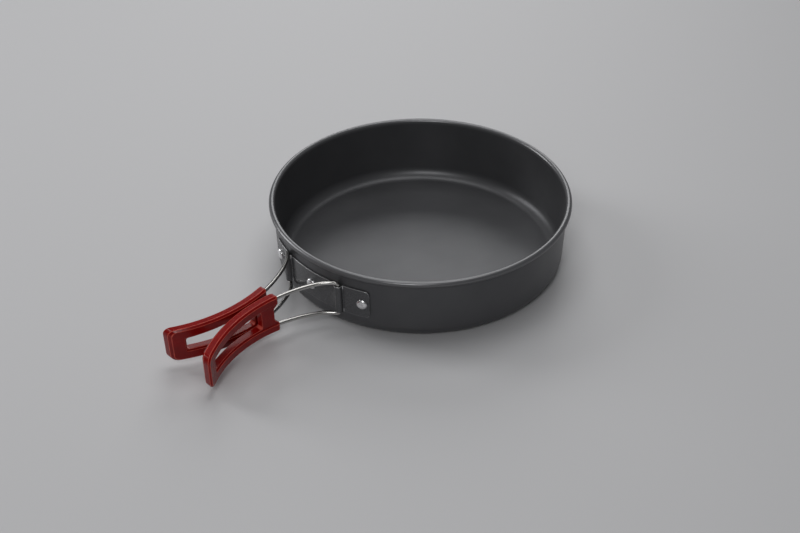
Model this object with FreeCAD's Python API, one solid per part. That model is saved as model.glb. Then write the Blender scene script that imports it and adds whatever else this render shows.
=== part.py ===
import FreeCAD, Part
import math
import os

# Camping frying pan with two folding wire handles.
# Millimetres and degrees. Z is up, the origin is on the pan's axis at its underside,
# and the open handles point along -Y. "Reach" is a distance from the hinge axis along -Y.

Vec = FreeCAD.Vector
ORIGIN = Vec(0, 0, 0)
UP = Vec(0, 0, 1)
OVERSHOOT = 1.0                 # how far a cutting shape runs past the surface that it cuts

# Pan: one drawn sheet with a rolled rim
pan_diameter = 190.0            # over the rolled rim
pan_height = 44.0               # underside to top of rim
pan_sheet = 1.2
wall_draft = 3.0                # the wall leans outwards by this angle
base_corner_radius = 9.0        # outside, between base and wall
rim_diameter = 3.8              # of the rolled bead
rim_curl_end_angle = -105.0     # where the rolled edge stops, 0 is straight outwards

# Bracket: one strip riveted round the wall, folded out into two hinge channels
# It stands on the straight wall, between the base corner and the room that the wires need.
bracket_corner_room = 3.6       # from the top of the base corner up to the strip
wire_rim_room = 4.95            # from the upper wire up to the rolled rim
bracket_length = 84.0           # measured round the wall
bracket_sheet = 1.0
tab_corner_radius = 3.0
relief_width = 2.6              # notch beside each channel, at the plate's corners
relief_depth = 1.4
hinge_spacing = 45.4            # between the two hinge axes
channel_stand_off = 0.8         # between a channel's bore and the pan wall

# Rivets
rivet_spacing = 37.1            # middle rivet to outer rivet, measured round the wall
rivet_shank_diameter = 4.0
rivet_hole_clearance = 0.05     # on the radius
rivet_head_diameter = 7.0
rivet_head_height = 1.7
rivet_head_rim = 0.5            # straight side of the head, below its dome
rivet_head_flat = 2.6           # diameter of the flattened top
rivet_tail_height = 0.8         # flat head on the inside of the pan

# Wire bails
wire_diameter = 2.5
pin_clearance = 0.1             # on the radius, in the hinge channel
pin_end_gap = 4.6               # between the two pins' ends, inside the channel
pin_bend_setback = 1.9          # bend between pin and run
run_clearance = 0.55            # between a run and the end of the channel
loop_height = 13.44             # between the runs' centre lines at the closed end
loop_bend_setback = 3.5         # bend between run and the closed end, inside the grip

# Bow: both the wire and its grip follow one arc about an upright axis
bow_radius = 83.0
waist_reach = 49.7              # where the two bows come closest
bow_start_reach = 8.95          # a second, tighter arc joins the bow to the hinge from here

# Grips; a "cover" is measured up or down from the wire's centre line to the grip's edge
grip_gap = 0.8                  # between the closed grips at the waist, before they lean
grip_thickness = 6.0
grip_root_reach = 33.5
grip_tip_reach = 97.5
grip_root_cover = 3.4           # above the upper run, at the root
grip_tip_cover = 4.6            # above the upper run, at the tip
grip_tip_corner = 4.2
grip_root_corner = 1.8
grip_bevel = 1.2
slot_start_reach = 45.5
slot_end_reach = 88.8
slot_cover = 3.0                # below the upper run, so that the slot narrows with the wire
slot_corner = 1.4
recess_margin = 1.1             # shallow recess round the slot and over the web
recess_depth = 0.8
notch_cover = 2.35              # below the upper run, at the root
notch_depth = 3.2               # between the rail ends, at the root
notch_corner = 2.5

# ---------------------------------------------------------------- derived sizes
wire_radius = wire_diameter / 2
rim_radius = rim_diameter / 2
rim_centre = Vec(pan_diameter / 2 - rim_radius, 0, pan_height - rim_radius)
bracket_bottom = base_corner_radius + bracket_corner_room
wire_top = pan_height - rim_diameter - wire_rim_room
bracket_height = wire_top - wire_diameter - run_clearance - bracket_bottom
bracket_mid_height = bracket_bottom + bracket_height / 2
pin_length = (bracket_height - pin_end_gap) / 2
bore_radius = wire_radius + pin_clearance
run_half_height = bracket_height / 2 + run_clearance + wire_radius
loop_reach = (slot_end_reach + grip_tip_reach) / 2
run_slope = math.degrees(math.atan2(run_half_height - loop_height / 2, loop_reach))


def sin(angle):
    return math.sin(math.radians(angle))


def cos(angle):
    return math.cos(math.radians(angle))


def tan(angle):
    return math.tan(math.radians(angle))


def run_height(reach):
    """Height of the upper run's centre line above the handle's middle plane."""
    return run_half_height - reach * tan(run_slope)


def wall_radius(height, offset=0.0):
    """Radius, at a height, of the cone that lies `offset` outside the wall's outer face."""
    at_rim = rim_centre.x - (rim_radius - pan_sheet - offset) / cos(wall_draft)
    return at_rim - (rim_centre.z - height) * tan(wall_draft)


wall_mid_radius = wall_radius(bracket_mid_height)
hinge_circle_radius = wall_radius(bracket_mid_height, bore_radius + channel_stand_off)
hinge_azimuth = math.degrees(math.asin(hinge_spacing / 2 / hinge_circle_radius))
rivet_azimuth = math.degrees(rivet_spacing / wall_mid_radius)
bracket_end_azimuth = math.degrees(bracket_length / 2 / wall_mid_radius)

hinge_x = hinge_spacing / 2
hinge_y = -hinge_circle_radius * cos(hinge_azimuth)
bow_x = grip_gap / 2 + grip_thickness / 2 + bow_radius
bow_y = hinge_y - waist_reach
shoulder_angle = math.degrees(math.asin((waist_reach - bow_start_reach) / bow_radius))


# ---------------------------------------------------------------- drawing helpers
def outward(azimuth):
    """Level direction away from the pan's axis; azimuth 0 is -Y, positive towards +X."""
    return Vec(sin(azimuth), -cos(azimuth), 0)


def sideways(azimuth):
    """Level direction along the wall, towards +X at azimuth 0."""
    return Vec(cos(azimuth), sin(azimuth), 0)


def corner_arc(before, corner, after, setback):
    """Three points of the arc that rounds a corner, leaving each run `setback` short of it."""
    to_before = (before - corner).normalize()
    to_after = (after - corner).normalize()
    half_angle = to_before.getAngle(to_after) / 2
    bisector = (to_before + to_after).normalize()
    radius = setback * math.tan(half_angle)
    middle = corner + bisector * (radius / math.sin(half_angle) - radius)
    return corner + to_before * setback, middle, corner + to_after * setback


def rounded_outline(corners):
    """Closed wire through (point, radius) corners. Radius 0 leaves a corner sharp."""
    count = len(corners)
    stops = []
    for index, (corner, radius) in enumerate(corners):
        before = corners[index - 1][0]
        after = corners[(index + 1) % count][0]
        if radius == 0:
            stops.append((corner, None, corner))
        else:
            half_angle = (before - corner).getAngle(after - corner) / 2
            stops.append(corner_arc(before, corner, after, radius / math.tan(half_angle)))
    edges = []
    for index, (start, middle, end) in enumerate(stops):
        if middle is not None:
            edges.append(Part.Arc(start, middle, end).toShape())
        next_start = stops[(index + 1) % count][0]
        if end.distanceToPoint(next_start) > 1e-6:
            edges.append(Part.makeLine(end, next_start))
    return Part.Wire(edges)


def revolved(wire):
    return Part.Face(wire).revolve(ORIGIN, UP, 360)


# ---------------------------------------------------------------- pan
def pan_body():
    """Floor, corner, wall and rolled rim as one revolved sheet, with three rivet holes."""
    wall_normal = Vec(cos(wall_draft), 0, -sin(wall_draft))
    curl_radius = rim_radius - pan_sheet
    outer_foot = rim_centre - wall_normal * curl_radius
    inner_foot = rim_centre - wall_normal * rim_radius

    def on_rim(radius, angle):
        return rim_centre + Vec(cos(angle), 0, sin(angle)) * radius

    base_corner = Vec(wall_radius(0), 0, 0)
    floor_corner = Vec(wall_radius(pan_sheet, -pan_sheet), 0, pan_sheet)
    base_centre = ORIGIN
    floor_centre = Vec(0, 0, pan_sheet)
    half_corner = (base_corner - base_centre).getAngle(outer_foot - base_corner)
    setback = base_corner_radius * math.tan(half_corner / 2)
    inner_setback = (base_corner_radius - pan_sheet) * math.tan(half_corner / 2)
    base_start, base_middle, base_end = corner_arc(base_centre, base_corner, outer_foot, setback)
    wall_end, floor_middle, floor_start = corner_arc(
        inner_foot, floor_corner, floor_centre, inner_setback)
    curl_inside = on_rim(curl_radius, rim_curl_end_angle)
    curl_outside = on_rim(rim_radius, rim_curl_end_angle)
    top_angle = 45.0
    profile = Part.Wire([
        Part.makeLine(base_centre, base_start),
        Part.Arc(base_start, base_middle, base_end).toShape(),
        Part.makeLine(base_end, outer_foot),
        Part.Arc(outer_foot, on_rim(curl_radius, top_angle), curl_inside).toShape(),
        Part.makeLine(curl_inside, curl_outside),
        Part.Arc(curl_outside, on_rim(rim_radius, top_angle), inner_foot).toShape(),
        Part.makeLine(inner_foot, wall_end),
        Part.Arc(wall_end, floor_middle, floor_start).toShape(),
        Part.makeLine(floor_start, floor_centre),
        Part.makeLine(floor_centre, base_centre),
    ])
    return revolved(profile).cut(rivet_holes())


# ---------------------------------------------------------------- rivets
def wall_normal_at(azimuth):
    return outward(azimuth) * cos(wall_draft) - UP * sin(wall_draft)


def rivet_foot(azimuth):
    """Where a rivet's axis meets the wall's outer face."""
    return outward(azimuth) * wall_mid_radius + UP * bracket_mid_height


def on_wall(shape, azimuth):
    """Turn a shape drawn along +Z so that it stands on the wall's outer face."""
    turn = FreeCAD.Rotation(UP, wall_normal_at(azimuth))
    placed = shape.copy()
    placed.Placement = FreeCAD.Placement(rivet_foot(azimuth), turn)
    return placed


def rivet_holes():
    """Three cylinders through the wall and the bracket."""
    radius = rivet_shank_diameter / 2 + rivet_hole_clearance
    depth = pan_sheet + bracket_sheet + 2 * OVERSHOOT
    drill = Part.makeCylinder(radius, depth, Vec(0, 0, -pan_sheet - OVERSHOOT))
    drills = [on_wall(drill, azimuth) for azimuth in (-rivet_azimuth, 0, rivet_azimuth)]
    return Part.makeCompound(drills)


def domed_head(bottom):
    """Rivet head whose dome leaves the flat top level and ends on a short straight side."""
    head_radius = rivet_head_diameter / 2
    flat_radius = rivet_head_flat / 2
    top = bracket_sheet + rivet_head_height
    shoulder = bracket_sheet + rivet_head_rim
    across = head_radius - flat_radius
    drop = top - shoulder
    dome_radius = (across ** 2 + drop ** 2) / (2 * drop)
    half_sweep = math.degrees(math.atan2(across, dome_radius - drop)) / 2
    dome_middle = Vec(flat_radius + dome_radius * sin(half_sweep), 0,
                      top - dome_radius + dome_radius * cos(half_sweep))
    return revolved(Part.Wire([
        Part.makeLine(Vec(0, 0, bottom), Vec(head_radius, 0, bottom)),
        Part.makeLine(Vec(head_radius, 0, bottom), Vec(head_radius, 0, shoulder)),
        Part.Arc(Vec(head_radius, 0, shoulder), dome_middle, Vec(flat_radius, 0, top)).toShape(),
        Part.makeLine(Vec(flat_radius, 0, top), Vec(0, 0, top)),
        Part.makeLine(Vec(0, 0, top), Vec(0, 0, bottom)),
    ]))


def rivet(azimuth):
    """Domed outer head, shank and flat inner head; both heads bed on the curved sheets."""
    bed = rivet_head_rim / 2    # extra head material, trimmed away to fit the curve
    shank_top = bracket_sheet + rivet_head_rim
    tail_bottom = -pan_sheet - rivet_tail_height
    outer_head = on_wall(domed_head(bracket_sheet - bed), azimuth).cut(wall_cone(bracket_sheet))
    tail = Part.makeCylinder(rivet_head_diameter / 2, rivet_tail_height + bed,
                             Vec(0, 0, tail_bottom))
    inner_head = on_wall(tail, azimuth).common(wall_cone(-pan_sheet))
    shank = Part.makeCylinder(rivet_shank_diameter / 2, shank_top - tail_bottom,
                              Vec(0, 0, tail_bottom))
    return outer_head.fuse([inner_head, on_wall(shank, azimuth)]).removeSplitter()


# ---------------------------------------------------------------- bracket
def wall_cone(offset):
    """Solid cone whose side lies `offset` outside the wall's outer face."""
    low = base_corner_radius
    high = pan_height - rim_diameter
    return Part.makeCone(wall_radius(low, offset), wall_radius(high, offset), high - low,
                         Vec(0, 0, low))


def wall_patch(azimuth, corners):
    """Part of the strip inside an outline; corners are (along the wall, up, radius)."""
    inside = wall_mid_radius * cos(bracket_end_azimuth)
    depth = wall_radius(pan_height, bracket_sheet) - inside + OVERSHOOT

    def place(along, up):
        return outward(azimuth) * inside + sideways(azimuth) * along + UP * up

    outline = rounded_outline([(place(along, up), radius) for along, up, radius in corners])
    prism = Part.Face(outline).extrude(outward(azimuth) * depth)
    return prism.common(wall_cone(bracket_sheet)).cut(wall_cone(0))


def middle_plate():
    """Strip between the channels, with a relief notch at each corner."""
    top = bracket_bottom + bracket_height
    low_relief = bracket_bottom + relief_depth
    high_relief = top - relief_depth
    near = hinge_x - bore_radius - bracket_sheet - relief_width
    return wall_patch(0, [
        (-hinge_x, low_relief, 0), (-near - relief_depth, low_relief, 0),
        (-near, bracket_bottom, 0), (near, bracket_bottom, 0),
        (near + relief_depth, low_relief, 0), (hinge_x, low_relief, 0),
        (hinge_x, high_relief, 0), (near + relief_depth, high_relief, 0),
        (near, top, 0), (-near, top, 0),
        (-near - relief_depth, high_relief, 0), (-hinge_x, high_relief, 0),
    ])


def tab(side):
    """Strip from one channel to its rounded end."""
    middle_azimuth = (hinge_azimuth + bracket_end_azimuth) / 2
    half_length = wall_mid_radius * sin((bracket_end_azimuth - hinge_azimuth) / 2)
    top = bracket_bottom + bracket_height
    near = -side * half_length
    far = side * half_length
    return wall_patch(side * middle_azimuth, [
        (near, bracket_bottom, 0), (far, bracket_bottom, tab_corner_radius),
        (far, top, tab_corner_radius), (near, top, 0),
    ])


def channel_block(side, radius):
    """Round bar on the hinge axis, with straight sides down into the wall."""
    azimuth = side * hinge_azimuth
    across = sideways(azimuth)
    lean = outward(azimuth) * sin(wall_draft) + UP * cos(wall_draft)
    length = bracket_height + 4 * OVERSHOOT
    middle = Vec(side * hinge_x, hinge_y, bracket_mid_height)
    start = middle - lean * (length / 2)
    bar = Part.makeCylinder(radius, length, start, lean)
    inwards = across.cross(lean).normalize()
    if inwards.dot(outward(azimuth)) > 0:
        inwards = inwards * -1
    depth = bore_radius + channel_stand_off + bracket_sheet
    corners = [start - across * radius, start + across * radius,
               start + across * radius + inwards * depth,
               start - across * radius + inwards * depth]
    sides = Part.Face(Part.makePolygon(corners + corners[:1])).extrude(lean * length)
    return bar.fuse(sides)


def handle_bracket():
    """Middle plate, two hinge channels and two tabs, bored for the pins and the rivets."""
    size = pan_diameter * 2
    slab = Part.makeBox(size, size, bracket_height, Vec(-size / 2, -size / 2, bracket_bottom))
    shape = middle_plate()
    for side in (-1, 1):
        channel = channel_block(side, bore_radius + bracket_sheet).cut(wall_cone(0))
        shape = shape.fuse([tab(side), channel.common(slab)])
    for side in (-1, 1):
        shape = shape.cut(channel_block(side, bore_radius))
    return shape.cut(rivet_holes()).removeSplitter()


# ---------------------------------------------------------------- handles
# A handle is drawn on the +X side with its hinge axis upright and its middle at z = 0.
def bow_point(angle, offset=0.0):
    """Point on the bow; angle 0 is the waist, positive towards the tip."""
    radius = bow_radius + offset
    return Vec(bow_x - radius * cos(angle), bow_y - radius * sin(angle), 0)


def lifted(point):
    """Raise a plan point into the sloping plane of the upper run."""
    reach = hinge_y - point.y
    return Vec(point.x, hinge_y - reach * cos(run_slope),
               run_half_height - reach * sin(run_slope))


def wire_path():
    """Centre line of the bent wire, from the upper pin's end round to the lower pin's end."""
    hinge = Vec(hinge_x, hinge_y, 0)
    bow_axis = Vec(bow_x, bow_y, 0)
    bow_start = bow_point(-shoulder_angle)
    to_start = (bow_start - bow_axis).normalize()

    # The shoulder arc touches the bow where it starts, and is `pin_bend_setback` from the hinge.
    # Its radius is negative when it has to curve the other way.
    spread = bow_axis - hinge
    along = to_start.dot(spread)
    gain = spread.Length ** 2 + 2 * bow_radius * along + bow_radius ** 2 - pin_bend_setback ** 2
    shoulder_radius = gain / (2 * (bow_radius + along))
    shoulder_axis = bow_axis + to_start * (bow_radius - shoulder_radius)
    to_axis = shoulder_axis - hinge
    swing = math.degrees(math.atan2(shoulder_radius, pin_bend_setback))
    leave = FreeCAD.Rotation(UP, -swing).multVec(to_axis).normalize()
    shoulder_start = hinge + leave * pin_bend_setback
    middle_way = (shoulder_start + bow_start) * 0.5 - shoulder_axis
    shoulder_middle = shoulder_axis + middle_way.normalize() * abs(shoulder_radius)

    loop_angle = math.degrees(math.asin((loop_reach - waist_reach) / bow_radius))
    bow_end_angle = loop_angle - math.degrees(loop_bend_setback / bow_radius)
    bow_end = lifted(bow_point(bow_end_angle))
    bow_middle = lifted(bow_point((bow_end_angle - shoulder_angle) / 2))
    heading = Vec(sin(bow_end_angle), -cos(bow_end_angle), 0) * loop_bend_setback
    loop_corner = lifted(bow_point(bow_end_angle) + heading)

    pin_corner = lifted(hinge)
    pin_end = Vec(hinge_x, hinge_y, bracket_height / 2 - pin_length)
    loop_middle = Vec(loop_corner.x, loop_corner.y, 0)
    pin_bend = corner_arc(pin_end, pin_corner, lifted(shoulder_start), pin_bend_setback)
    loop_bend = corner_arc(bow_end, loop_corner, loop_middle, loop_bend_setback)
    upper = [
        Part.makeLine(pin_end, pin_bend[0]),
        Part.Arc(*pin_bend).toShape(),
        Part.Arc(pin_bend[2], lifted(shoulder_middle), lifted(bow_start)).toShape(),
        Part.Arc(lifted(bow_start), bow_middle, bow_end).toShape(),
        Part.Arc(*loop_bend).toShape(),
        Part.makeLine(loop_bend[2], loop_middle),
    ]
    lower = [edge.mirror(ORIGIN, UP) for edge in upper]
    return Part.Wire(Part.__sortEdges__(upper + lower)), pin_end


def wire_bail():
    path, pin_end = wire_path()
    section = Part.Wire(Part.makeCircle(wire_radius, pin_end, UP))
    return path.makePipeShell([section], True, False)


def bow_slab(inner, outer, half_height):
    """Slab between two offsets from the bow, longer than the grip at both ends."""
    root = grip_root_reach - grip_thickness
    tip = grip_tip_reach + grip_thickness
    start_angle = math.degrees(math.asin((root - waist_reach) / bow_radius))
    end_angle = math.degrees(math.asin((tip - waist_reach) / bow_radius))
    near = bow_point(start_angle, inner)
    far = bow_point(start_angle, outer)
    low = UP * -half_height
    high = UP * half_height
    outline = Part.makePolygon([near + low, far + low, far + high, near + high, near + low])
    return Part.Face(outline).revolve(Vec(bow_x, bow_y, 0), UP,
                                      end_angle - start_angle)


def side_prism(corners):
    """Block cut to a side outline; corners are (reach, height, radius)."""
    start = -grip_thickness
    width = bow_radius
    points = [(Vec(start, hinge_y - reach, height), radius) for reach, height, radius in corners]
    return Part.Face(rounded_outline(points)).extrude(Vec(width, 0, 0))


def symmetric_side(start, end):
    """Side outline with equal halves; start and end are (reach, half height, radius)."""
    start_reach, start_half, start_radius = start
    end_reach, end_half, end_radius = end
    return side_prism([
        (start_reach, start_half, start_radius), (end_reach, end_half, end_radius),
        (end_reach, -end_half, end_radius), (start_reach, -start_half, start_radius),
    ])


def along_slot(reach, margin, radius):
    """A corner on the slot's edge, or `margin` outside it; the edge runs beside the wire."""
    return reach, run_height(reach) - slot_cover + margin, radius


def grip(wire):
    """Moulded bow with two rails, a finger slot, a recessed web and a root notch."""
    half = grip_thickness / 2
    root_half = run_height(grip_root_reach) + grip_root_cover
    tip_half = run_height(grip_tip_reach) + grip_tip_cover
    blank = bow_slab(-half, half, 2 * root_half).common(symmetric_side(
        (grip_root_reach, root_half, grip_root_corner),
        (grip_tip_reach, tip_half, grip_tip_corner)))
    face_edges = [edge for edge in blank.Edges if not is_crosswise(edge)]
    shape = blank.makeChamfer(grip_bevel, face_edges)

    slot = symmetric_side(along_slot(slot_start_reach, 0, slot_corner),
                          along_slot(slot_end_reach, 0, slot_corner))
    notch_start = grip_root_reach - notch_depth
    notch_end = grip_root_reach + notch_depth
    notch_half = run_height(grip_root_reach) - notch_cover
    notch = symmetric_side((notch_start, notch_half + notch_depth, 0),
                           (notch_end, notch_half - notch_depth, notch_corner))
    recess = symmetric_side(along_slot(notch_start, recess_margin, 0),
                            along_slot(slot_end_reach + recess_margin, recess_margin, slot_corner))
    outer_skin = bow_slab(-half - recess_depth, recess_depth - half, 2 * root_half)
    inner_skin = bow_slab(half - recess_depth, half + recess_depth, 2 * root_half)
    shape = shape.cut([slot, notch, recess.common(outer_skin), recess.common(inner_skin)])
    return shape.cut(wire)


def is_crosswise(edge):
    """True for the short edges that join the grip's two curved faces."""
    start = edge.Vertexes[0].Point
    end = edge.Vertexes[-1].Point
    bow_axis = Vec(bow_x, bow_y, 0)
    from_axis = [Vec(point.x, point.y, 0).distanceToPoint(bow_axis) for point in (start, end)]
    return abs(from_axis[0] - from_axis[1]) > grip_thickness / 2


def in_place(shape, side):
    """Lean a handle with the wall, lift it to the bracket and mirror it for the -X side."""
    placed = shape.copy()
    placed.rotate(Vec(hinge_x, hinge_y, 0), sideways(hinge_azimuth), wall_draft)
    placed.translate(UP * bracket_mid_height)
    if side < 0:
        placed = placed.mirror(ORIGIN, Vec(1, 0, 0))
    return placed


# ---------------------------------------------------------------- output
def save(shape, node):
    shape.exportStep("parts/" + node + ".step")


def main():
    os.makedirs("parts", exist_ok=True)
    save(pan_body(), "pan_body")
    save(handle_bracket(), "handle_bracket")
    for name, azimuth in (("left", -rivet_azimuth), ("centre", 0), ("right", rivet_azimuth)):
        save(rivet(azimuth), "rivet_" + name)
    wire = wire_bail()
    moulding = grip(wire)
    for name, side in (("left", -1), ("right", 1)):
        save(in_place(wire, side), "wire_bail_" + name)
        save(in_place(moulding, side), "grip_" + name)


main()
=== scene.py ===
import math

import bmesh
import bpy
from mathutils import Matrix, Vector


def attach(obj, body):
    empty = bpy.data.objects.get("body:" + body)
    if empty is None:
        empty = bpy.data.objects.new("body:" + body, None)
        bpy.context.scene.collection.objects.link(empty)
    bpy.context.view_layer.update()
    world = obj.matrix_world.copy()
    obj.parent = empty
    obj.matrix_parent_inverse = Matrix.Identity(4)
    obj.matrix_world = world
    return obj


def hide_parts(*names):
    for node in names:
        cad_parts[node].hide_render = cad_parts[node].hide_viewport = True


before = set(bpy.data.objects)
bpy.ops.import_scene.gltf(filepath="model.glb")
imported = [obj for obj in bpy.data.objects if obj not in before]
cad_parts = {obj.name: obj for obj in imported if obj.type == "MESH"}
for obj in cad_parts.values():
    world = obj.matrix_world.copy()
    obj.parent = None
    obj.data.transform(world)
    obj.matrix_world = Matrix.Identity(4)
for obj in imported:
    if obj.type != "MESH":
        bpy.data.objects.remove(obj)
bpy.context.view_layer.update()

# Camping frying pan with two folding wire handles.
# Meshes are drawn in millimetres and degrees in the CAD frame and scaled to metres at the end.
# "Reach" is a distance from the hinge axis along -Y; azimuth 0 is -Y, positive towards +X.
MM = 0.001
scene = bpy.context.scene
UP = Vector((0, 0, 1))

# Pan
pan_diameter = 190.0
pan_height = 44.0
pan_sheet = 1.2
wall_draft = 3.0
base_corner_radius = 9.0
rim_diameter = 3.8
rim_curl_end_angle = -105.0
curl_edge = 0.2                 # round on the sheet's cut edge
pan_segments = 256

# Bracket
bracket_height = 19.6
bracket_mid_height = 22.4
bracket_length = 84.0
bracket_sheet = 1.0
tab_corner_radius = 3.0
relief_width = 2.6
relief_depth = 1.4
hinge_spacing = 45.4
channel_stand_off = 0.8
fold_radius = 1.0               # of the sheet's middle, where the strip turns into a channel
sheet_gap = 0.03                # keeps the strip's back off the pan wall
strip_edge = 0.28               # round on the strip's cut edges

# Rivets
rivet_spacing = 37.1
rivet_shank_diameter = 4.0
rivet_head_diameter = 7.0
rivet_head_height = 1.7
rivet_head_rim = 0.5
rivet_head_flat = 2.6
rivet_tail_height = 0.8
rivet_tail_round = 0.3
rivet_edge = 0.12               # round on the heads' edges
rivet_seat = 0.1                # the heads press this far into the sheets
rivet_dent = 0.12               # the setting tool leaves the middle very slightly dished
rivet_segments = 48

# Wire bails
wire_diameter = 2.5
wire_end_round = 0.35
wire_sides = 24
pin_clearance = 0.1
pin_length = 7.5
pin_bend_setback = 1.9
run_clearance = 0.55
loop_height = 13.44
loop_bend_setback = 3.5

# Bow shared by each wire and its grip
bow_radius = 83.0
waist_reach = 49.7
bow_start_reach = 8.95

# Grips
grip_gap = 0.8
grip_thickness = 6.0
grip_root_reach = 33.5
grip_tip_reach = 97.5
grip_root_cover = 3.4
grip_tip_cover = 4.6
grip_tip_corner = 4.2
grip_root_corner = 1.8
grip_bevel = 1.2
slot_start_reach = 45.5
slot_end_reach = 88.8
slot_cover = 3.0
slot_corner = 1.4
recess_margin = 1.1
recess_depth = 0.8
notch_cover = 2.35
notch_depth = 3.2
notch_corner = 2.5
moulded_edge = 0.22             # round on every edge of the moulding
slice_length = 1.6              # between the cuts that let the moulding bend

# Surroundings
floor_size = 3000.0             # from the middle to each side
floor_drop = 0.05               # below the underside, so that the two faces don't coincide


def sin(angle):
    return math.sin(math.radians(angle))


def cos(angle):
    return math.cos(math.radians(angle))


def tan(angle):
    return math.tan(math.radians(angle))


# ---------------------------------------------------------------- sizes worked out
wire_radius = wire_diameter / 2
rim_radius = rim_diameter / 2
rim_centre = Vector((pan_diameter / 2 - rim_radius, pan_height - rim_radius))
bore_radius = wire_radius + pin_clearance
run_half_height = bracket_height / 2 + run_clearance + wire_radius
loop_reach = (slot_end_reach + grip_tip_reach) / 2
run_slope = math.degrees(math.atan2(run_half_height - loop_height / 2, loop_reach))


def wall_radius(height, offset=0.0):
    """Radius, at a height, of the cone that lies `offset` outside the wall's outer face."""
    at_rim = rim_centre.x - (rim_radius - pan_sheet - offset) / cos(wall_draft)
    return at_rim - (rim_centre.y - height) * tan(wall_draft)


def run_height(reach):
    """Height of the upper run's centre line above the handle's middle plane."""
    return run_half_height - reach * tan(run_slope)


wall_mid_radius = wall_radius(bracket_mid_height)
hinge_circle_radius = wall_radius(bracket_mid_height, bore_radius + channel_stand_off)
hinge_x = hinge_spacing / 2
hinge_azimuth = math.degrees(math.asin(hinge_x / hinge_circle_radius))
hinge_y = -hinge_circle_radius * cos(hinge_azimuth)
rivet_azimuth = math.degrees(rivet_spacing / wall_mid_radius)
bracket_end_azimuth = math.degrees(bracket_length / 2 / wall_mid_radius)
bow_x = grip_gap / 2 + grip_thickness / 2 + bow_radius
bow_y = hinge_y - waist_reach
shoulder_angle = math.degrees(math.asin((waist_reach - bow_start_reach) / bow_radius))


def outward(azimuth):
    return Vector((sin(azimuth), -cos(azimuth), 0))


def sideways(azimuth):
    return Vector((cos(azimuth), sin(azimuth), 0))


# ---------------------------------------------------------------- mesh helpers
def make_object(name, points, faces, mirrored=False):
    """Mesh object from millimetre points; a mirrored one is reflected in the plane x = 0."""
    mesh = bpy.data.meshes.new(name)
    flip = -1 if mirrored else 1
    mesh.from_pydata([(p[0] * MM * flip, p[1] * MM, p[2] * MM) for p in points], [], faces)
    if mirrored:
        mesh.flip_normals()
    mesh.update()
    obj = bpy.data.objects.new(name, mesh)
    scene.collection.objects.link(obj)
    return obj


def grid_faces(rows, columns, close_columns=False):
    """Quads of a grid whose points are stored row after row."""
    faces = []
    last = columns if close_columns else columns - 1
    for row in range(rows - 1):
        for column in range(last):
            beside = (column + 1) % columns
            faces.append((row * columns + column, row * columns + beside,
                          (row + 1) * columns + beside, (row + 1) * columns + column))
    return faces


def apply_modifiers(obj):
    """Replace the object's mesh by the result of its modifiers."""
    graph = bpy.context.evaluated_depsgraph_get()
    result = bpy.data.meshes.new_from_object(obj.evaluated_get(graph))
    obj.modifiers.clear()
    old = obj.data
    obj.data = result
    bpy.data.meshes.remove(old)


def round_edges(obj, width, segments, angle):
    """Small rounds on every edge sharper than an angle, with flat faces kept flat in shading."""
    bevel = obj.modifiers.new("rounds", "BEVEL")
    bevel.width = width * MM
    bevel.segments = segments
    bevel.limit_method = "ANGLE"
    bevel.angle_limit = math.radians(angle)
    bevel.use_clamp_overlap = False
    apply_modifiers(obj)


def mark_raised_edges(obj, width):
    """Store 1 on the narrow faces of a round of this width over an outer edge, else 0."""
    least_turn = math.radians(5)
    widest = 0.7 * width * MM       # each face of the round is about half as wide as the round
    work = bmesh.new()
    work.from_mesh(obj.data)
    layer = work.faces.layers.float.new("raised_edge")
    for face in work.faces:
        longest = max(edge.calc_length() for edge in face.edges)
        narrow = face.calc_area() < widest * longest
        raised = any(edge.calc_face_angle_signed(0.0) > least_turn for edge in face.edges)
        face[layer] = 1.0 if narrow and raised else 0.0
    work.to_mesh(obj.data)
    work.free()


def smooth(obj):
    """Smooth shading with normals weighted by face area."""
    for face in obj.data.polygons:
        face.use_smooth = True
    weighted = obj.modifiers.new("weighted", "WEIGHTED_NORMAL")
    weighted.keep_sharp = True
    apply_modifiers(obj)


def lathe(name, profile, segments):
    """Solid of revolution about Z; the profile runs from axis to axis as (radius, height)."""
    ring_points = profile[1:-1]
    points = []
    for radius, height in ring_points:
        for step in range(segments):
            turn = 360 * step / segments
            points.append((radius * cos(turn), radius * sin(turn), height))
    faces = grid_faces(len(ring_points), segments, close_columns=True)
    first_pole = len(points)
    points.append((0, 0, profile[0][1]))
    points.append((0, 0, profile[-1][1]))
    last_ring = (len(ring_points) - 1) * segments
    for step in range(segments):
        beside = (step + 1) % segments
        faces.append((first_pole, beside, step))
        faces.append((first_pole + 1, last_ring + step, last_ring + beside))
    return make_object(name, points, faces)


def flat_arc(centre, radius, start, end, steps):
    """Points (radius, height) on an arc, ends included, angles from straight outwards."""
    return [(centre[0] + radius * cos(start + (end - start) * step / steps),
             centre[1] + radius * sin(start + (end - start) * step / steps))
            for step in range(steps + 1)]


def space_arc(start, middle, end, steps):
    """Points on the arc through three points, ends included."""
    first = start - end
    second = middle - end
    across = first.cross(second)
    blend = second * first.length_squared - first * second.length_squared
    centre = end + blend.cross(across) / (2 * across.length_squared)
    axis = (start - centre).cross(middle - centre).normalized()
    from_centre = start - centre
    sweep = from_centre.angle(middle - centre) + (middle - centre).angle(end - centre)
    return [centre + Matrix.Rotation(sweep * step / steps, 3, axis) @ from_centre
            for step in range(steps + 1)]


def corner_arc(before, corner, after, setback):
    """Start, middle and end of the arc that rounds a corner."""
    to_before = (before - corner).normalized()
    to_after = (after - corner).normalized()
    half_angle = to_before.angle(to_after) / 2
    bisector = (to_before + to_after).normalized()
    radius = setback * math.tan(half_angle)
    middle = corner + bisector * (radius / math.sin(half_angle) - radius)
    return corner + to_before * setback, middle, corner + to_after * setback


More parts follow.
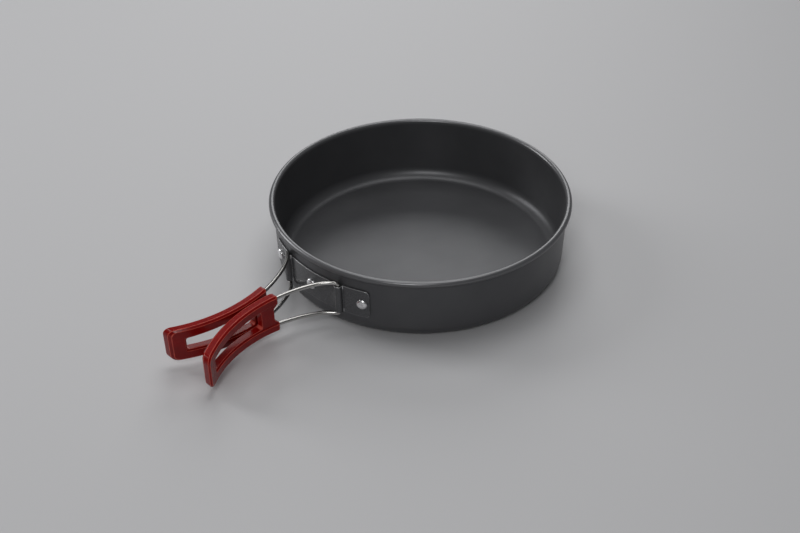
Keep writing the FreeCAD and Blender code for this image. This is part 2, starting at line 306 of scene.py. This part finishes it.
# ---------------------------------------------------------------- pan
def pan_shell():
    """Sheet with flat floor, rounded corner, leaning wall and rolled rim, lathed finely."""
    curl = rim_radius - pan_sheet
    wall_normal = Vector((cos(wall_draft), -sin(wall_draft)))
    outer_foot = rim_centre - wall_normal * curl
    inner_foot = rim_centre - wall_normal * rim_radius
    corner_sweep = 90 - wall_draft

    centre_height = base_corner_radius
    outer_corner = Vector((wall_radius(centre_height) - base_corner_radius / cos(wall_draft),
                           centre_height))
    inner_radius = base_corner_radius - pan_sheet
    floor_rings = (20.0, 50.0)
    same_place = 1e-4
    profile = [(0.0, 0.0)]
    profile += [(radius, 0.0) for radius in floor_rings]
    profile += flat_arc(outer_corner, base_corner_radius, -90, -90 + corner_sweep, 14)
    profile += [tuple(outer_foot)]
    profile += flat_arc(rim_centre, curl, 180 - wall_draft, rim_curl_end_angle, 18)[1:]
    profile += flat_arc(rim_centre, rim_radius, rim_curl_end_angle, 180 - wall_draft, 36)
    profile += [tuple(inner_foot)]
    profile += flat_arc(outer_corner, inner_radius, -90 + corner_sweep, -90, 14)
    profile += [(radius, pan_sheet) for radius in reversed(floor_rings)]
    profile += [(0.0, pan_sheet)]
    cleaned = [profile[0]]
    for point in profile[1:]:
        if (Vector(point) - Vector(cleaned[-1])).length > same_place:
            cleaned.append(point)
    shell = lathe("pan_shell", cleaned, pan_segments)
    round_edges(shell, curl_edge, 2, 50)
    smooth(shell)
    return shell


# ---------------------------------------------------------------- rivets
def rivet_piece(name, azimuth):
    """Domed head with a flattened middle, shank, and flat head inside the pan."""
    head_radius = rivet_head_diameter / 2
    flat_radius = rivet_head_flat / 2
    top = bracket_sheet + rivet_head_height
    shoulder = bracket_sheet + rivet_head_rim
    across = head_radius - flat_radius
    drop = top - shoulder
    dome_radius = (across ** 2 + drop ** 2) / (2 * drop)
    dome_end = math.degrees(math.asin(across / dome_radius))
    tail = -pan_sheet - rivet_tail_height
    shank_radius = rivet_shank_diameter / 2
    shank_low = -pan_sheet + rivet_seat
    shank_high = bracket_sheet - rivet_seat
    profile = [(0, tail), (head_radius - rivet_tail_round, tail),
               (head_radius, tail + rivet_tail_round), (head_radius, shank_low),
               (shank_radius, shank_low), (shank_radius, shank_high), (head_radius, shank_high)]
    profile += flat_arc((flat_radius, top - dome_radius), dome_radius, 90 - dome_end, 90, 10)
    profile += [(flat_radius * 0.8, top - rivet_dent * 0.6),
                (flat_radius * 0.5, top - rivet_dent), (0, top - rivet_dent)]
    piece = lathe(name, profile, rivet_segments)
    round_edges(piece, rivet_edge, 2, 40)
    normal = outward(azimuth) * cos(wall_draft) - UP * sin(wall_draft)
    foot = outward(azimuth) * wall_mid_radius + UP * bracket_mid_height
    turn = UP.rotation_difference(normal).to_matrix().to_4x4()
    piece.data.transform(Matrix.Translation(foot * MM) @ turn)
    smooth(piece)
    return piece


# ---------------------------------------------------------------- bracket
def strip_columns():
    """Plan points of the strip's middle surface, with normals and edge heights, left to right."""
    strip_radius = wall_mid_radius + sheet_gap + bracket_sheet / 2
    wall_level = -bore_radius - channel_stand_off + sheet_gap + bracket_sheet / 2
    channel_radius = bore_radius + bracket_sheet / 2
    fold_out = channel_radius + fold_radius
    half = bracket_height / 2
    near = hinge_x - bore_radius - bracket_sheet - relief_width
    columns = []

    def add(point, normal, cut):
        columns.append((point, normal.normalized(), half - cut))

    def wall_column(azimuth, cut):
        add(outward(azimuth) * strip_radius, outward(azimuth), cut)

    def channel(side):
        centre = outward(side * hinge_azimuth) * hinge_circle_radius
        out = outward(side * hinge_azimuth)
        along = sideways(side * hinge_azimuth)
        left = [(-fold_out + fold_radius * sin(turn), wall_level + fold_radius * (1 - cos(turn)),
                 -sin(turn), cos(turn)) for turn in range(0, 91, 15)]
        bend = [(-channel_radius * cos(turn), channel_radius * sin(turn), -cos(turn), sin(turn))
                for turn in range(0, 181, 12)]
        right = [(-a, b, -na, nb) for a, b, na, nb in reversed(left)]
        for a, b, na, nb in left + bend + right:
            add(centre + along * a + out * b, along * na + out * nb, 0.0)

    fold_azimuth = math.degrees(fold_out / wall_mid_radius)
    tab_length = wall_mid_radius * math.radians(bracket_end_azimuth - hinge_azimuth - fold_azimuth)

    def tab(side):
        steps = []
        for turn in range(0, 91, 10):
            distance = tab_corner_radius * (1 - cos(turn))
            steps.append((distance, tab_corner_radius * (1 - sin(turn))))
        count = 8
        rest = tab_length - tab_corner_radius
        steps += [(tab_corner_radius + rest * step / count, 0.0) for step in range(1, count)]
        if side > 0:
            steps.reverse()
        for distance, cut in steps:
            azimuth = bracket_end_azimuth - math.degrees(distance / wall_mid_radius)
            wall_column(side * azimuth, cut)

    def middle():
        fold_margin = 0.12      # keeps the last column clear of the fold's first one
        slope_end = near + relief_depth
        last = wall_mid_radius * math.radians(hinge_azimuth - fold_azimuth) - fold_margin
        ends = [(last, relief_depth), (slope_end, relief_depth), (near, 0.0)]
        count = 16
        flat = [(near * (1 - 2 * step / count), 0.0) for step in range(1, count)]
        places = ([(-place, cut) for place, cut in ends]
                  + [(-place, cut) for place, cut in flat]
                  + [(place, cut) for place, cut in reversed(ends)])
        for place, cut in places:
            wall_column(math.degrees(place / wall_mid_radius), cut)

    tab(-1)
    channel(-1)
    middle()
    channel(1)
    tab(1)
    return columns


def bracket_strip():
    """One bent strip with a wall tab at each end and two channels for the hinge pins."""
    columns = strip_columns()
    rows = 9
    lean = tan(wall_draft)
    points = []
    for row in range(rows):
        for skin in (1, -1):
            for point, normal, half in columns:
                height = half * (2 * row / (rows - 1) - 1)
                plan = point + normal * (skin * bracket_sheet / 2)
                plan = plan + plan.normalized() * (height * lean)
                points.append((plan.x, plan.y, bracket_mid_height + height))
    count = len(columns)
    faces = []

    def index(row, skin, column):
        return (row * 2 + skin) * count + column

    for row in range(rows - 1):
        for column in range(count - 1):
            outer = [index(row, 0, column), index(row, 0, column + 1),
                     index(row + 1, 0, column + 1), index(row + 1, 0, column)]
            inner = [index(row, 1, column), index(row + 1, 1, column),
                     index(row + 1, 1, column + 1), index(row, 1, column + 1)]
            faces += [tuple(outer), tuple(inner)]
        for column, flip in ((0, False), (count - 1, True)):
            end = [index(row, 0, column), index(row + 1, 0, column),
                   index(row + 1, 1, column), index(row, 1, column)]
            faces.append(tuple(reversed(end)) if flip else tuple(end))
    for column in range(count - 1):
        low = [index(0, 0, column), index(0, 1, column),
               index(0, 1, column + 1), index(0, 0, column + 1)]
        high = [index(rows - 1, 0, column), index(rows - 1, 0, column + 1),
                index(rows - 1, 1, column + 1), index(rows - 1, 1, column)]
        faces += [tuple(low), tuple(high)]
    strip = make_object("bracket_strip", points, faces)
    round_edges(strip, strip_edge, 3, 55)
    mark_raised_edges(strip, strip_edge)
    smooth(strip)
    return strip


# ---------------------------------------------------------------- handles
# A handle is drawn on the +X side with its hinge axis upright and its middle at z = 0.
HINGE = Vector((hinge_x, hinge_y, 0))


def stand_in_place(point):
    """Lean a handle's point with the wall and lift it to the bracket."""
    turn = Matrix.Rotation(math.radians(wall_draft), 3, sideways(hinge_azimuth))
    return HINGE + turn @ (Vector(point) - HINGE) + UP * bracket_mid_height


def bow_point(angle):
    """Point on the bow; angle 0 is the waist, positive towards the tip."""
    return Vector((bow_x - bow_radius * cos(angle), bow_y - bow_radius * sin(angle), 0))


def lifted(point):
    """Raise a plan point into the sloping plane of the upper run."""
    reach = hinge_y - point.y
    return Vector((point.x, hinge_y - reach * cos(run_slope),
                   run_half_height - reach * sin(run_slope)))


def wire_route():
    """Centre line from the upper pin's end round to the lower pin's end."""
    bow_axis = Vector((bow_x, bow_y, 0))
    bow_start = bow_point(-shoulder_angle)
    to_start = (bow_start - bow_axis).normalized()
    spread = bow_axis - HINGE
    along = to_start.dot(spread)
    gain = spread.length_squared + 2 * bow_radius * along + bow_radius ** 2 - pin_bend_setback ** 2
    shoulder_radius = gain / (2 * (bow_radius + along))
    shoulder_axis = bow_axis + to_start * (bow_radius - shoulder_radius)
    swing = -math.atan2(shoulder_radius, pin_bend_setback)
    leave = (Matrix.Rotation(swing, 3, UP) @ (shoulder_axis - HINGE)).normalized()
    shoulder_start = HINGE + leave * pin_bend_setback
    middle_way = ((shoulder_start + bow_start) / 2 - shoulder_axis).normalized()
    shoulder_middle = shoulder_axis + middle_way * shoulder_radius

    loop_angle = math.degrees(math.asin((loop_reach - waist_reach) / bow_radius))
    bow_end_angle = loop_angle - math.degrees(loop_bend_setback / bow_radius)
    heading = Vector((sin(bow_end_angle), -cos(bow_end_angle), 0)) * loop_bend_setback
    loop_corner = lifted(bow_point(bow_end_angle) + heading)
    bow_end = lifted(bow_point(bow_end_angle))
    bow_middle = lifted(bow_point((bow_end_angle - shoulder_angle) / 2))
    pin_end = Vector((hinge_x, hinge_y, bracket_height / 2 - pin_length))
    loop_middle = Vector((loop_corner.x, loop_corner.y, 0))
    pin_bend = corner_arc(pin_end, lifted(HINGE), lifted(shoulder_start), pin_bend_setback)
    loop_bend = corner_arc(bow_end, loop_corner, loop_middle, loop_bend_setback)

    upper = [pin_end]
    upper += space_arc(*pin_bend, 10)
    upper += space_arc(pin_bend[2], lifted(shoulder_middle), lifted(bow_start), 14)[1:]
    upper += space_arc(lifted(bow_start), bow_middle, bow_end, 60)[1:]
    upper += space_arc(*loop_bend, 10)[1:]
    lower = [Vector((point.x, point.y, -point.z)) for point in reversed(upper)]
    return upper + lower


def wire_piece(name, side):
    """Round wire swept along the route; its ends are rounded off."""
    route = [stand_in_place(point) for point in wire_route()]
    stations = []
    for which in (0, -1):
        neighbour = route[1] if which == 0 else route[-2]
        heading = (neighbour - route[which]).normalized()
        shrunk = [(route[which] + heading * wire_end_round * (1 - sin(turn)),
                   wire_radius - wire_end_round * (1 - cos(turn))) for turn in (90, 60, 30)]
        stations.append(shrunk)
    body = [(point, wire_radius) for point in route[1:-1]]
    start_edge = route[0] + (route[1] - route[0]).normalized() * wire_end_round
    end_edge = route[-1] + (route[-2] - route[-1]).normalized() * wire_end_round
    rings = (stations[0] + [(start_edge, wire_radius)] + body
             + [(end_edge, wire_radius)] + list(reversed(stations[1])))
    points = []
    frame_x = None
    for place, (centre, radius) in enumerate(rings):
        before = rings[max(place - 1, 0)][0]
        after = rings[min(place + 1, len(rings) - 1)][0]
        heading = (after - before).normalized()
        if frame_x is None:
            frame_x = heading.orthogonal().normalized()
        frame_x = (frame_x - heading * frame_x.dot(heading)).normalized()
        frame_y = heading.cross(frame_x)
        for step in range(wire_sides):
            turn = 360 * step / wire_sides
            points.append(centre + (frame_x * cos(turn) + frame_y * sin(turn)) * radius)
    faces = grid_faces(len(rings), wire_sides, close_columns=True)
    last = (len(rings) - 1) * wire_sides
    faces.append(tuple(reversed(range(wire_sides))))
    faces.append(tuple(range(last, last + wire_sides)))
    wire = make_object(name, points, faces, mirrored=side < 0)
    add_wire_map(wire, len(rings))
    smooth(wire)
    return wire


def add_wire_map(wire, rings):
    """UV map that runs along the wire, for its drawing lines."""
    layer = wire.data.uv_layers.new(name="along")
    for polygon in wire.data.polygons:
        for loop in polygon.loop_indices:
            vertex = wire.data.loops[loop].vertex_index
            ring, side = divmod(vertex, wire_sides)
            layer.data[loop].uv = (ring / rings, side / wire_sides)


def rounded_loop(corners, inset, steps):
    """Outline through (x, y, radius) corners, moved inwards by `inset`, anticlockwise."""
    count = len(corners)
    points = []
    for place, (x, y, radius) in enumerate(corners):
        corner = Vector((x, y))
        before = (Vector(corners[place - 1][:2]) - corner).normalized()
        after = (Vector(corners[(place + 1) % count][:2]) - corner).normalized()
        half_angle = before.angle(after) / 2
        bisector = (before + after).normalized()
        corner = corner + bisector * (inset / math.sin(half_angle))
        radius = max(radius - inset, 0.0)
        if radius == 0:
            points.append(corner)
            continue
        centre = corner + bisector * (radius / math.sin(half_angle))
        start = corner + before * (radius / math.tan(half_angle)) - centre
        end = corner + after * (radius / math.tan(half_angle)) - centre
        sweep = start.angle_signed(end)
        for step in range(steps + 1):
            turn = Matrix.Rotation(-sweep * step / steps, 2)
            points.append(centre + turn @ start)
    return points


def symmetric_side(start, end):
    """Corners of a side outline with equal halves; start and end are (reach, half, radius)."""
    return [(start[0], -start[1], start[2]), (end[0], -end[1], end[2]),
            (end[0], end[1], end[2]), (start[0], start[1], start[2])]


def along_slot(reach, margin, radius):
    return reach, run_height(reach) - slot_cover + margin, radius


def layered_block(name, layers):
    """Closed block from outlines of equal length at rising thickness, as (points, level)."""
    count = len(layers[0][0])
    points = [(p.x, p.y, level) for outline, level in layers for p in outline]
    faces = grid_faces(len(layers), count, close_columns=True)
    faces.append(tuple(reversed(range(count))))
    last = (len(layers) - 1) * count
    faces.append(tuple(range(last, last + count)))
    return make_object(name, points, faces)


def flat_grip():
    """The moulding before it is bowed: reach along X, height along Y, thickness along Z."""
    half = grip_thickness / 2
    root_half = run_height(grip_root_reach) + grip_root_cover
    tip_half = run_height(grip_tip_reach) + grip_tip_cover
    outline = symmetric_side((grip_root_reach, root_half, grip_root_corner),
                             (grip_tip_reach, tip_half, grip_tip_corner))
    full = rounded_loop(outline, 0.0, 8)
    narrow = rounded_loop(outline, grip_bevel, 8)
    blank = layered_block("grip_blank", [(narrow, -half), (full, grip_bevel - half),
                                         (full, half - grip_bevel), (narrow, half)])
    notch_start = grip_root_reach - notch_depth
    notch_half = run_height(grip_root_reach) - notch_cover
    slot = symmetric_side(along_slot(slot_start_reach, 0, slot_corner),
                          along_slot(slot_end_reach, 0, slot_corner))
    notch = symmetric_side((notch_start, notch_half + notch_depth, 0),
                           (grip_root_reach + notch_depth, notch_half - notch_depth, notch_corner))
    recess = symmetric_side(along_slot(notch_start, recess_margin, 0),
                            along_slot(slot_end_reach + recess_margin, recess_margin, slot_corner))
    through = (-grip_thickness, grip_thickness)
    cuts = [("slot", slot, through), ("notch", notch, through),
            ("recess_low", recess, (-grip_thickness, recess_depth - half)),
            ("recess_high", recess, (half - recess_depth, grip_thickness))]
    cutters = []
    for label, corners, (low, high) in cuts:
        loop = rounded_loop(corners, 0.0, 8)
        cutter = layered_block(label + "_cutter", [(loop, low), (loop, high)])
        boolean = blank.modifiers.new(label, "BOOLEAN")
        boolean.operation = "DIFFERENCE"
        boolean.solver = "EXACT"
        boolean.object = cutter
        cutters.append(cutter)
    apply_modifiers(blank)
    for cutter in cutters:
        bpy.data.meshes.remove(cutter.data)
    round_edges(blank, moulded_edge, 3, 30)
    return blank


def bow_mesh(source, name, side):
    """Copy of the flat moulding, sliced across, bent round the bow and set in place."""
    too_short = 0.001 * MM
    work = bmesh.new()
    work.from_mesh(source.data)
    bmesh.ops.triangulate(work, faces=work.faces[:])
    cut = grip_root_reach + slice_length / 2
    while cut < grip_tip_reach:
        everything = work.verts[:] + work.edges[:] + work.faces[:]
        bmesh.ops.bisect_plane(work, geom=everything, plane_co=(cut * MM, 0, 0),
                               plane_no=(1, 0, 0))
        cut += slice_length
    bmesh.ops.dissolve_degenerate(work, dist=too_short, edges=work.edges[:])
    flip = -1 if side < 0 else 1
    for vertex in work.verts:
        reach, height, level = vertex.co / MM
        radius = bow_radius + level
        x = bow_x - math.sqrt(radius ** 2 - (reach - waist_reach) ** 2)
        placed = stand_in_place((x, hinge_y - reach, height))
        vertex.co = (placed.x * MM * flip, placed.y * MM, placed.z * MM)
    bmesh.ops.recalc_face_normals(work, faces=work.faces[:])
    mesh = bpy.data.meshes.new(name)
    work.to_mesh(mesh)
    work.free()
    moulding = bpy.data.objects.new(name, mesh)
    scene.collection.objects.link(moulding)
    mark_raised_edges(moulding, moulded_edge)
    smooth(moulding)
    return moulding


# ---------------------------------------------------------------- materials
# Noise scales are per millimetre, except along the wire. Colours are linear red, green, blue.
# A Mix node's sockets are found by place, because their names repeat for each kind of value.
MIX_FACTOR = 0
MIX_COLOURS = (6, 7)
MIX_COLOUR_RESULT = 2
MIX_NUMBERS = (2, 3)
MIX_NUMBER_RESULT = 0


class Nodes:
    """Short names for adding shader nodes to one material."""

    def __init__(self, name):
        self.material = bpy.data.materials.new(name)
        self.material.use_nodes = True
        self.tree = self.material.node_tree
        self.shader = self.tree.nodes["Principled BSDF"]

    def add(self, kind, **values):
        node = self.tree.nodes.new(kind)
        for key, value in values.items():
            setattr(node, key, value)
        return node

    def join(self, source, target):
        self.tree.links.new(source, target)

    def position(self):
        """Object coordinates in millimetres."""
        place = self.add("ShaderNodeTexCoord").outputs["Object"]
        scaled = self.add("ShaderNodeVectorMath", operation="SCALE")
        scaled.inputs["Scale"].default_value = 1 / MM
        self.join(place, scaled.inputs[0])
        return scaled.outputs[0]

    def noise(self, vector, scale, detail=2.0, stretch=(1, 1, 1)):
        mapping = self.add("ShaderNodeMapping")
        mapping.inputs["Scale"].default_value = stretch
        self.join(vector, mapping.inputs["Vector"])
        noise = self.add("ShaderNodeTexNoise")
        noise.inputs["Scale"].default_value = scale
        noise.inputs["Detail"].default_value = detail
        self.join(mapping.outputs["Vector"], noise.inputs["Vector"])
        return noise.outputs["Fac"]

    def ranged(self, value, low, high, from_low=0.3, from_high=0.7):
        """Map a value onto a range; a noise lies mostly between 0.3 and 0.7."""
        node = self.add("ShaderNodeMapRange")
        node.inputs["From Min"].default_value = from_low
        node.inputs["From Max"].default_value = from_high
        node.inputs["To Min"].default_value = low
        node.inputs["To Max"].default_value = high
        self.join(value, node.inputs["Value"])
        return node.outputs["Result"]

    def mixed(self, factor, first, second):
        """Blend two colours, each of them three numbers or another node's output."""
        node = self.add("ShaderNodeMix", data_type="RGBA")
        self.join(factor, node.inputs[MIX_FACTOR])
        for place, colour in zip(MIX_COLOURS, (first, second)):
            if isinstance(colour, tuple):
                node.inputs[place].default_value = (*colour, 1.0)
            else:
                self.join(colour, node.inputs[place])
        return node.outputs[MIX_COLOUR_RESULT]

    def painted_edge_highlight(self, tone, pale, amount):
        """Painted highlight: blend a tone towards a paler one along raised edges, in uneven
        patches.
        """
        edges = self.add("ShaderNodeAttribute", attribute_name="raised_edge").outputs["Fac"]
        patchy = self.ranged(self.noise(self.position(), 0.35, 2.0), 0.55, 1.0)
        highlight_amount = self.add("ShaderNodeMath", operation="MULTIPLY")
        self.join(edges, highlight_amount.inputs[0])
        self.join(patchy, highlight_amount.inputs[1])
        return self.mixed(self.ranged(highlight_amount.outputs[0], 0.0, amount, 0.0, 1.0), tone, pale)

    def bump(self, heights, distance):
        """Bump from several (height, strength) pairs, chained."""
        normal = None
        for height, strength in heights:
            node = self.add("ShaderNodeBump")
            node.inputs["Strength"].default_value = strength
            node.inputs["Distance"].default_value = distance * MM
            self.join(height, node.inputs["Height"])
            if normal is not None:
                self.join(normal, node.inputs["Normal"])
            normal = node.outputs["Normal"]
        self.join(normal, self.shader.inputs["Normal"])


def radius_about_axis(nodes, place):
    """Coordinates (distance from Z, height, 0), which make texture lines run round the pan."""
    split = nodes.add("ShaderNodeSeparateXYZ")
    nodes.join(place, split.inputs[0])
    plan = nodes.add("ShaderNodeCombineXYZ")
    nodes.join(split.outputs["X"], plan.inputs["X"])
    nodes.join(split.outputs["Y"], plan.inputs["Y"])
    length = nodes.add("ShaderNodeVectorMath", operation="LENGTH")
    nodes.join(plan.outputs[0], length.inputs[0])
    around = nodes.add("ShaderNodeCombineXYZ")
    nodes.join(length.outputs["Value"], around.inputs["X"])
    nodes.join(split.outputs["Z"], around.inputs["Y"])
    return around.outputs[0]


def rim_painted_highlight_and_smoothing(nodes, place, tone, rough):
    """Painted highlight on the rolled rim as a paler tone, and smoother metal there."""
    rim_bottom = pan_height - rim_diameter
    height = nodes.add("ShaderNodeSeparateXYZ")
    nodes.join(place, height.inputs[0])
    on_rim = nodes.ranged(height.outputs["Z"], 0.0, 1.0, rim_bottom + 0.5, rim_bottom + 2.0)
    # Painted highlight: the rim's tone is blended towards this paler metal colour.
    painted_highlight_metal = (0.150, 0.151, 0.157)
    rubbed_rough = 0.28
    paler = nodes.mixed(on_rim, tone, painted_highlight_metal)
    smoother = nodes.add("ShaderNodeMix", data_type="FLOAT")
    nodes.join(on_rim, smoother.inputs[MIX_FACTOR])
    nodes.join(rough, smoother.inputs[MIX_NUMBERS[0]])
    smoother.inputs[MIX_NUMBERS[1]].default_value = rubbed_rough
    return paler, smoother.outputs[MIX_NUMBER_RESULT]


def anodised(name, dark, light, rough_low, rough_high, metallic, spun):
    """Hard-anodised aluminium with fine grain and a cloudy tone.

    A spun piece has faint turned marks and a smoother rim with a painted highlight, and a stamped
    one has a painted highlight along its raised edges.
    """
    nodes = Nodes(name)
    place = nodes.position()
    cloud = nodes.noise(place, 0.035, 4.0)
    grain = nodes.noise(place, 3.2, 3.0)
    fine = nodes.noise(place, 9.0, 2.0)
    heights = [(grain, 0.16), (fine, 0.10)]
    tone = nodes.mixed(nodes.ranged(cloud, 0.0, 1.0), dark, light)
    rough = nodes.ranged(grain, rough_low, rough_high)
    if spun:
        turned = nodes.noise(radius_about_axis(nodes, place), 2.4, 3.0)
        heights.append((turned, 0.10))
        # The rim gets a painted highlight in its tone and a lower roughness.
        tone, rough = rim_painted_highlight_and_smoothing(nodes, place, tone, rough)
    else:
        # Painted highlight: pale metal colour along the strip's raised edges.
        painted_highlight_metal = (0.60, 0.60, 0.61)
        tone = nodes.painted_edge_highlight(tone, painted_highlight_metal, 0.9)
    nodes.join(tone, nodes.shader.inputs["Base Color"])
    nodes.join(rough, nodes.shader.inputs["Roughness"])
    nodes.shader.inputs["Metallic"].default_value = metallic
    nodes.bump(heights, 0.06)
    return nodes.material


def bright_rivet():
    """Bright aluminium with small dents and dull patches from setting."""
    nodes = Nodes("rivet_aluminium")
    place = nodes.position()
    dull = nodes.noise(place, 1.1, 3.0)
    dents = nodes.noise(place, 2.6, 1.0)
    nodes.join(nodes.mixed(nodes.ranged(dull, 0.0, 1.0), (0.72, 0.72, 0.73), (0.92, 0.92, 0.93)),
               nodes.shader.inputs["Base Color"])
    nodes.join(nodes.ranged(dull, 0.34, 0.20), nodes.shader.inputs["Roughness"])
    nodes.shader.inputs["Metallic"].default_value = 1.0
    nodes.bump([(dents, 0.35)], 0.12)
    return nodes.material


def drawn_steel():
    """Drawn stainless wire: fine lines along its length over a polished surface."""
    nodes = Nodes("drawn_steel")
    along = nodes.add("ShaderNodeUVMap", uv_map="along").outputs["UV"]
    lines = nodes.noise(along, 1.0, 4.0, (6.0, 60.0, 1.0))
    place = nodes.position()
    smudge = nodes.noise(place, 0.25, 3.0)
    nodes.join(nodes.mixed(nodes.ranged(lines, 0.0, 1.0), (0.40, 0.39, 0.38), (0.56, 0.55, 0.53)),
               nodes.shader.inputs["Base Color"])
    nodes.join(nodes.ranged(smudge, 0.14, 0.26), nodes.shader.inputs["Roughness"])
    nodes.shader.inputs["Metallic"].default_value = 1.0
    nodes.bump([(lines, 0.10)], 0.05)
    return nodes.material


def moulded_red():
    """Glossy moulded plastic: slight orange peel, and a painted highlight that makes the raised
    edges paler.
    """
    nodes = Nodes("moulded_red")
    place = nodes.position()
    cloud = nodes.noise(place, 0.12, 3.0)
    peel = nodes.noise(place, 1.1, 2.0)
    scuff = nodes.noise(place, 5.0, 4.0, (1.0, 0.25, 1.0))
    deep_red = (0.185, 0.0012, 0.0008)
    light_red = (0.235, 0.0020, 0.0014)
    # Painted highlight: paler red along the grips' raised edges.
    edge_highlight_red = (0.58, 0.085, 0.058)
    tone = nodes.mixed(nodes.ranged(cloud, 0.0, 1.0), deep_red, light_red)
    tone = nodes.painted_edge_highlight(tone, edge_highlight_red, 0.9)
    nodes.join(tone, nodes.shader.inputs["Base Color"])
    nodes.join(nodes.ranged(scuff, 0.16, 0.28), nodes.shader.inputs["Roughness"])
    nodes.shader.inputs["Specular IOR Level"].default_value = 0.26
    nodes.bump([(peel, 0.10), (scuff, 0.04)], 0.10)
    return nodes.material


# ---------------------------------------------------------------- camera, light and floor
def make_camera():
    """Camera turned round the pan's axis by an azimuth, looking down at the pan.

    Distance is from the axis and height from the underside. Yaw, pitch and roll, in radians,
    turn it away from looking level at the axis.
    """
    azimuth = math.radians(45.2)
    distance = 872.98 * MM
    height = 615.31 * MM
    yaw = -0.01487
    pitch = 0.62270
    roll = -0.00490
    data = bpy.data.cameras.new("studio_camera")
    data.sensor_width = 36.0
    data.lens = 74.79
    data.clip_start = 0.05
    data.clip_end = 20.0
    camera = bpy.data.objects.new("studio_camera", data)
    scene.collection.objects.link(camera)
    forward = Vector((math.sin(yaw) * math.cos(pitch), math.cos(yaw) * math.cos(pitch),
                      -math.sin(pitch)))
    level = Vector((math.cos(yaw), -math.sin(yaw), 0.0))
    upright = level.cross(forward)
    right = level * math.cos(roll) + upright * math.sin(roll)
    up = upright * math.cos(roll) - level * math.sin(roll)
    turn = Matrix((right, up, -forward)).transposed().to_4x4()
    place = Matrix.Translation((0.0, -distance, height)) @ turn
    camera.matrix_world = Matrix.Rotation(azimuth, 4, "Z") @ place
    scene.camera = camera


def make_area_light(name, location, target, size, power):
    data = bpy.data.lights.new(name, "AREA")
    data.shape = "RECTANGLE"
    data.size, data.size_y = size
    data.energy = power
    light = bpy.data.objects.new(name, data)
    light.location = location
    aim = Vector(target) - Vector(location)
    light.rotation_euler = aim.to_track_quat("-Z", "Y").to_euler()
    scene.collection.objects.link(light)


def make_world(strength):
    world = bpy.data.worlds.new("studio")
    scene.world = world
    world.use_nodes = True
    background = world.node_tree.nodes["Background"]
    background.inputs["Color"].default_value = (0.80, 0.81, 0.83, 1.0)
    background.inputs["Strength"].default_value = strength


def make_floor():
    size = floor_size * MM
    level = -floor_drop * MM
    mesh = bpy.data.meshes.new("floor")
    corners = [(-size, -size, level), (size, -size, level), (size, size, level),
               (-size, size, level)]
    mesh.from_pydata(corners, [], [(0, 1, 2, 3)])
    floor = bpy.data.objects.new("floor", mesh)
    scene.collection.objects.link(floor)
    material = bpy.data.materials.new("pale_floor")
    material.use_nodes = True
    shader = material.node_tree.nodes["Principled BSDF"]
    shader.inputs["Base Color"].default_value = (0.52, 0.52, 0.53, 1.0)
    shader.inputs["Roughness"].default_value = 0.6
    mesh.materials.append(material)


# ---------------------------------------------------------------- put together
def fit_piece(piece, node, body, material):
    """Give a piece its material and let it stand for its CAD node."""
    piece.data.materials.clear()
    piece.data.materials.append(material)
    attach(piece, body)
    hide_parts(node)


def make_object_pieces():
    pan_metal = anodised("anodised_pan", (0.082, 0.083, 0.088), (0.096, 0.097, 0.102),
                         rough_low=0.35, rough_high=0.43, metallic=0.50, spun=True)
    strip_metal = anodised("anodised_strip", (0.100, 0.101, 0.106), (0.118, 0.119, 0.124),
                           rough_low=0.22, rough_high=0.30, metallic=0.65, spun=False)
    rivet_metal = bright_rivet()
    steel = drawn_steel()
    red = moulded_red()
    fit_piece(pan_shell(), "pan_body", "pan", pan_metal)
    fit_piece(bracket_strip(), "handle_bracket", "pan", strip_metal)
    for name, azimuth in (("left", -rivet_azimuth), ("centre", 0), ("right", rivet_azimuth)):
        fit_piece(rivet_piece("rivet_piece_" + name, azimuth), "rivet_" + name,
                  "pan", rivet_metal)
    flat = flat_grip()
    for name, side in (("left", -1), ("right", 1)):
        body = name + "_handle"
        fit_piece(wire_piece("wire_" + name, side), "wire_bail_" + name, body, steel)
        fit_piece(bow_mesh(flat, "moulding_" + name, side), "grip_" + name, body, red)
    bpy.data.meshes.remove(flat.data)


make_camera()
make_world(0.15)
make_floor()
make_area_light("back_softbox", (-1.05, 1.05, 0.75), (0.0, 0.0, 0.02), (0.95, 0.9), 6.5)
make_area_light("top_softbox", (-0.18, 0.18, 1.2), (0.0, 0.0, 0.02), (0.9, 0.9), 5.5)
make_area_light("left_softbox", (-1.1, -0.55, 0.6), (0.0, -0.05, 0.03), (0.4, 0.8), 5.5)
make_area_light("front_fill", (0.75, -1.0, 1.1), (0.0, -0.05, 0.03), (0.5, 0.5), 5.5)
make_object_pieces()

scene.view_settings.view_transform = "Standard"
